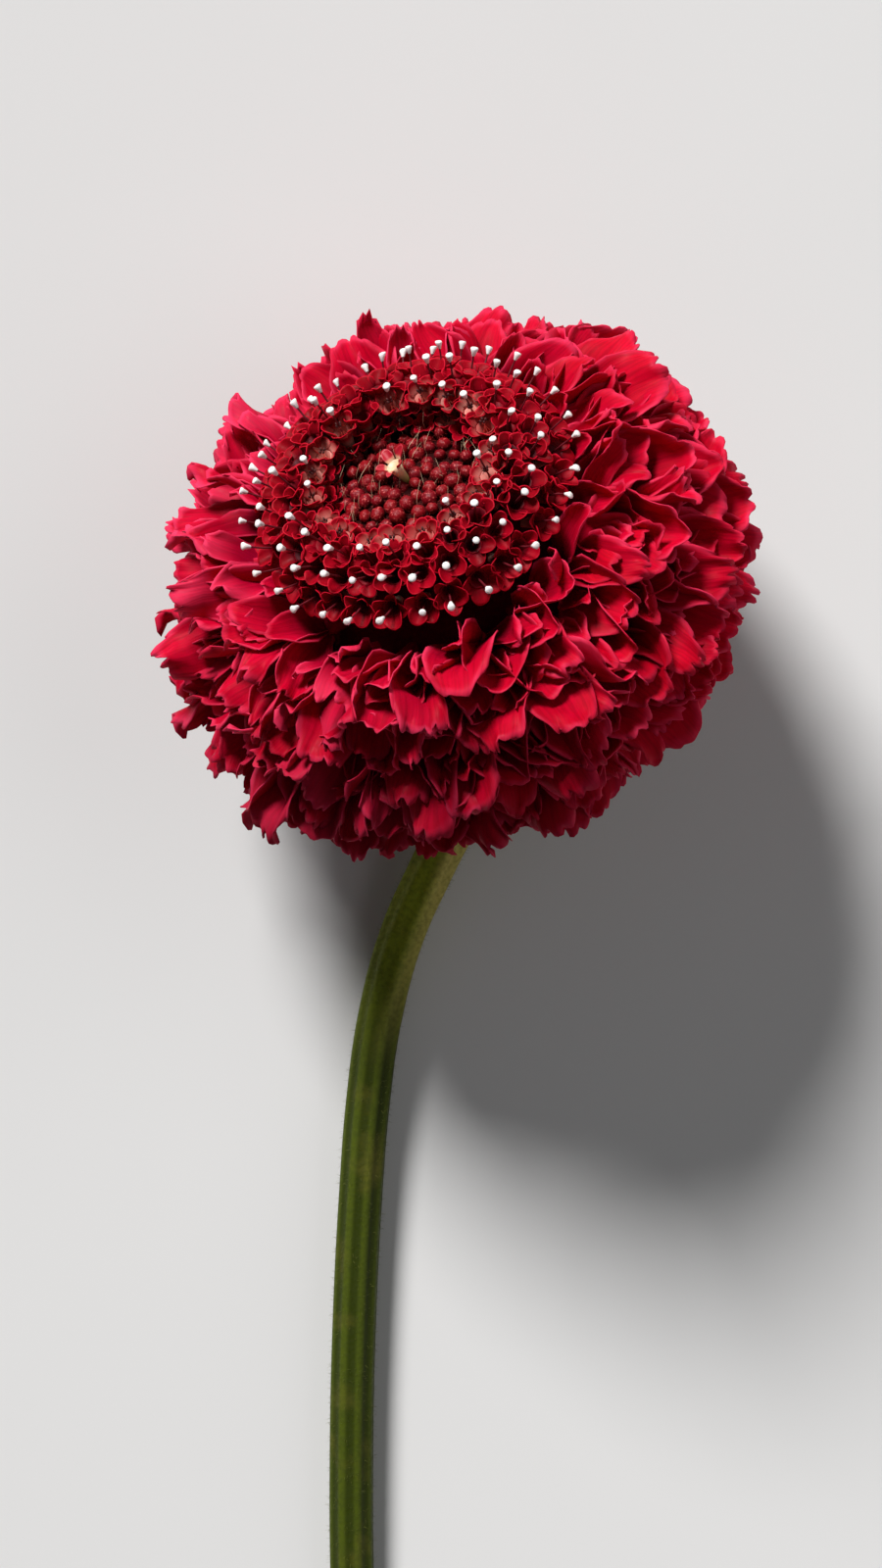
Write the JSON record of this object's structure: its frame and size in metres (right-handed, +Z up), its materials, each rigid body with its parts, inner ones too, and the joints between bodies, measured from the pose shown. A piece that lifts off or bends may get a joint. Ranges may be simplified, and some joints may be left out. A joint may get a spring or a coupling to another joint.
{
  "type": "scabiosa flower",
  "caption": "Cut double scabiosa lying down: a frilled globe of ray florets, a raised crown of small florets with pin-headed styles, closed buds in the middle and a bent stalk.",
  "frame": {"origin": "on the surface that the flower lies on, under the middle of its bounding box", "axes": "+Y from the cut end of the stalk towards the head, +Z up; the head faces up and away from the stalk"},
  "size_m": [0.0619, 0.1608, 0.0503],
  "materials": {
    "ray_petal": "soft crimson petal",
    "crown_floret": "satin wine red",
    "bud": "dusky red, hairy",
    "bract": "matt green",
    "stalk": "ribbed, downy green"
  },
  "bodies": {
    "root": {"ray_florets": "ray_petal", "crown_florets": "crown_floret", "buds": "bud", "bracts": "bract", "stalk": "stalk"}
  },
  "joints": []
}
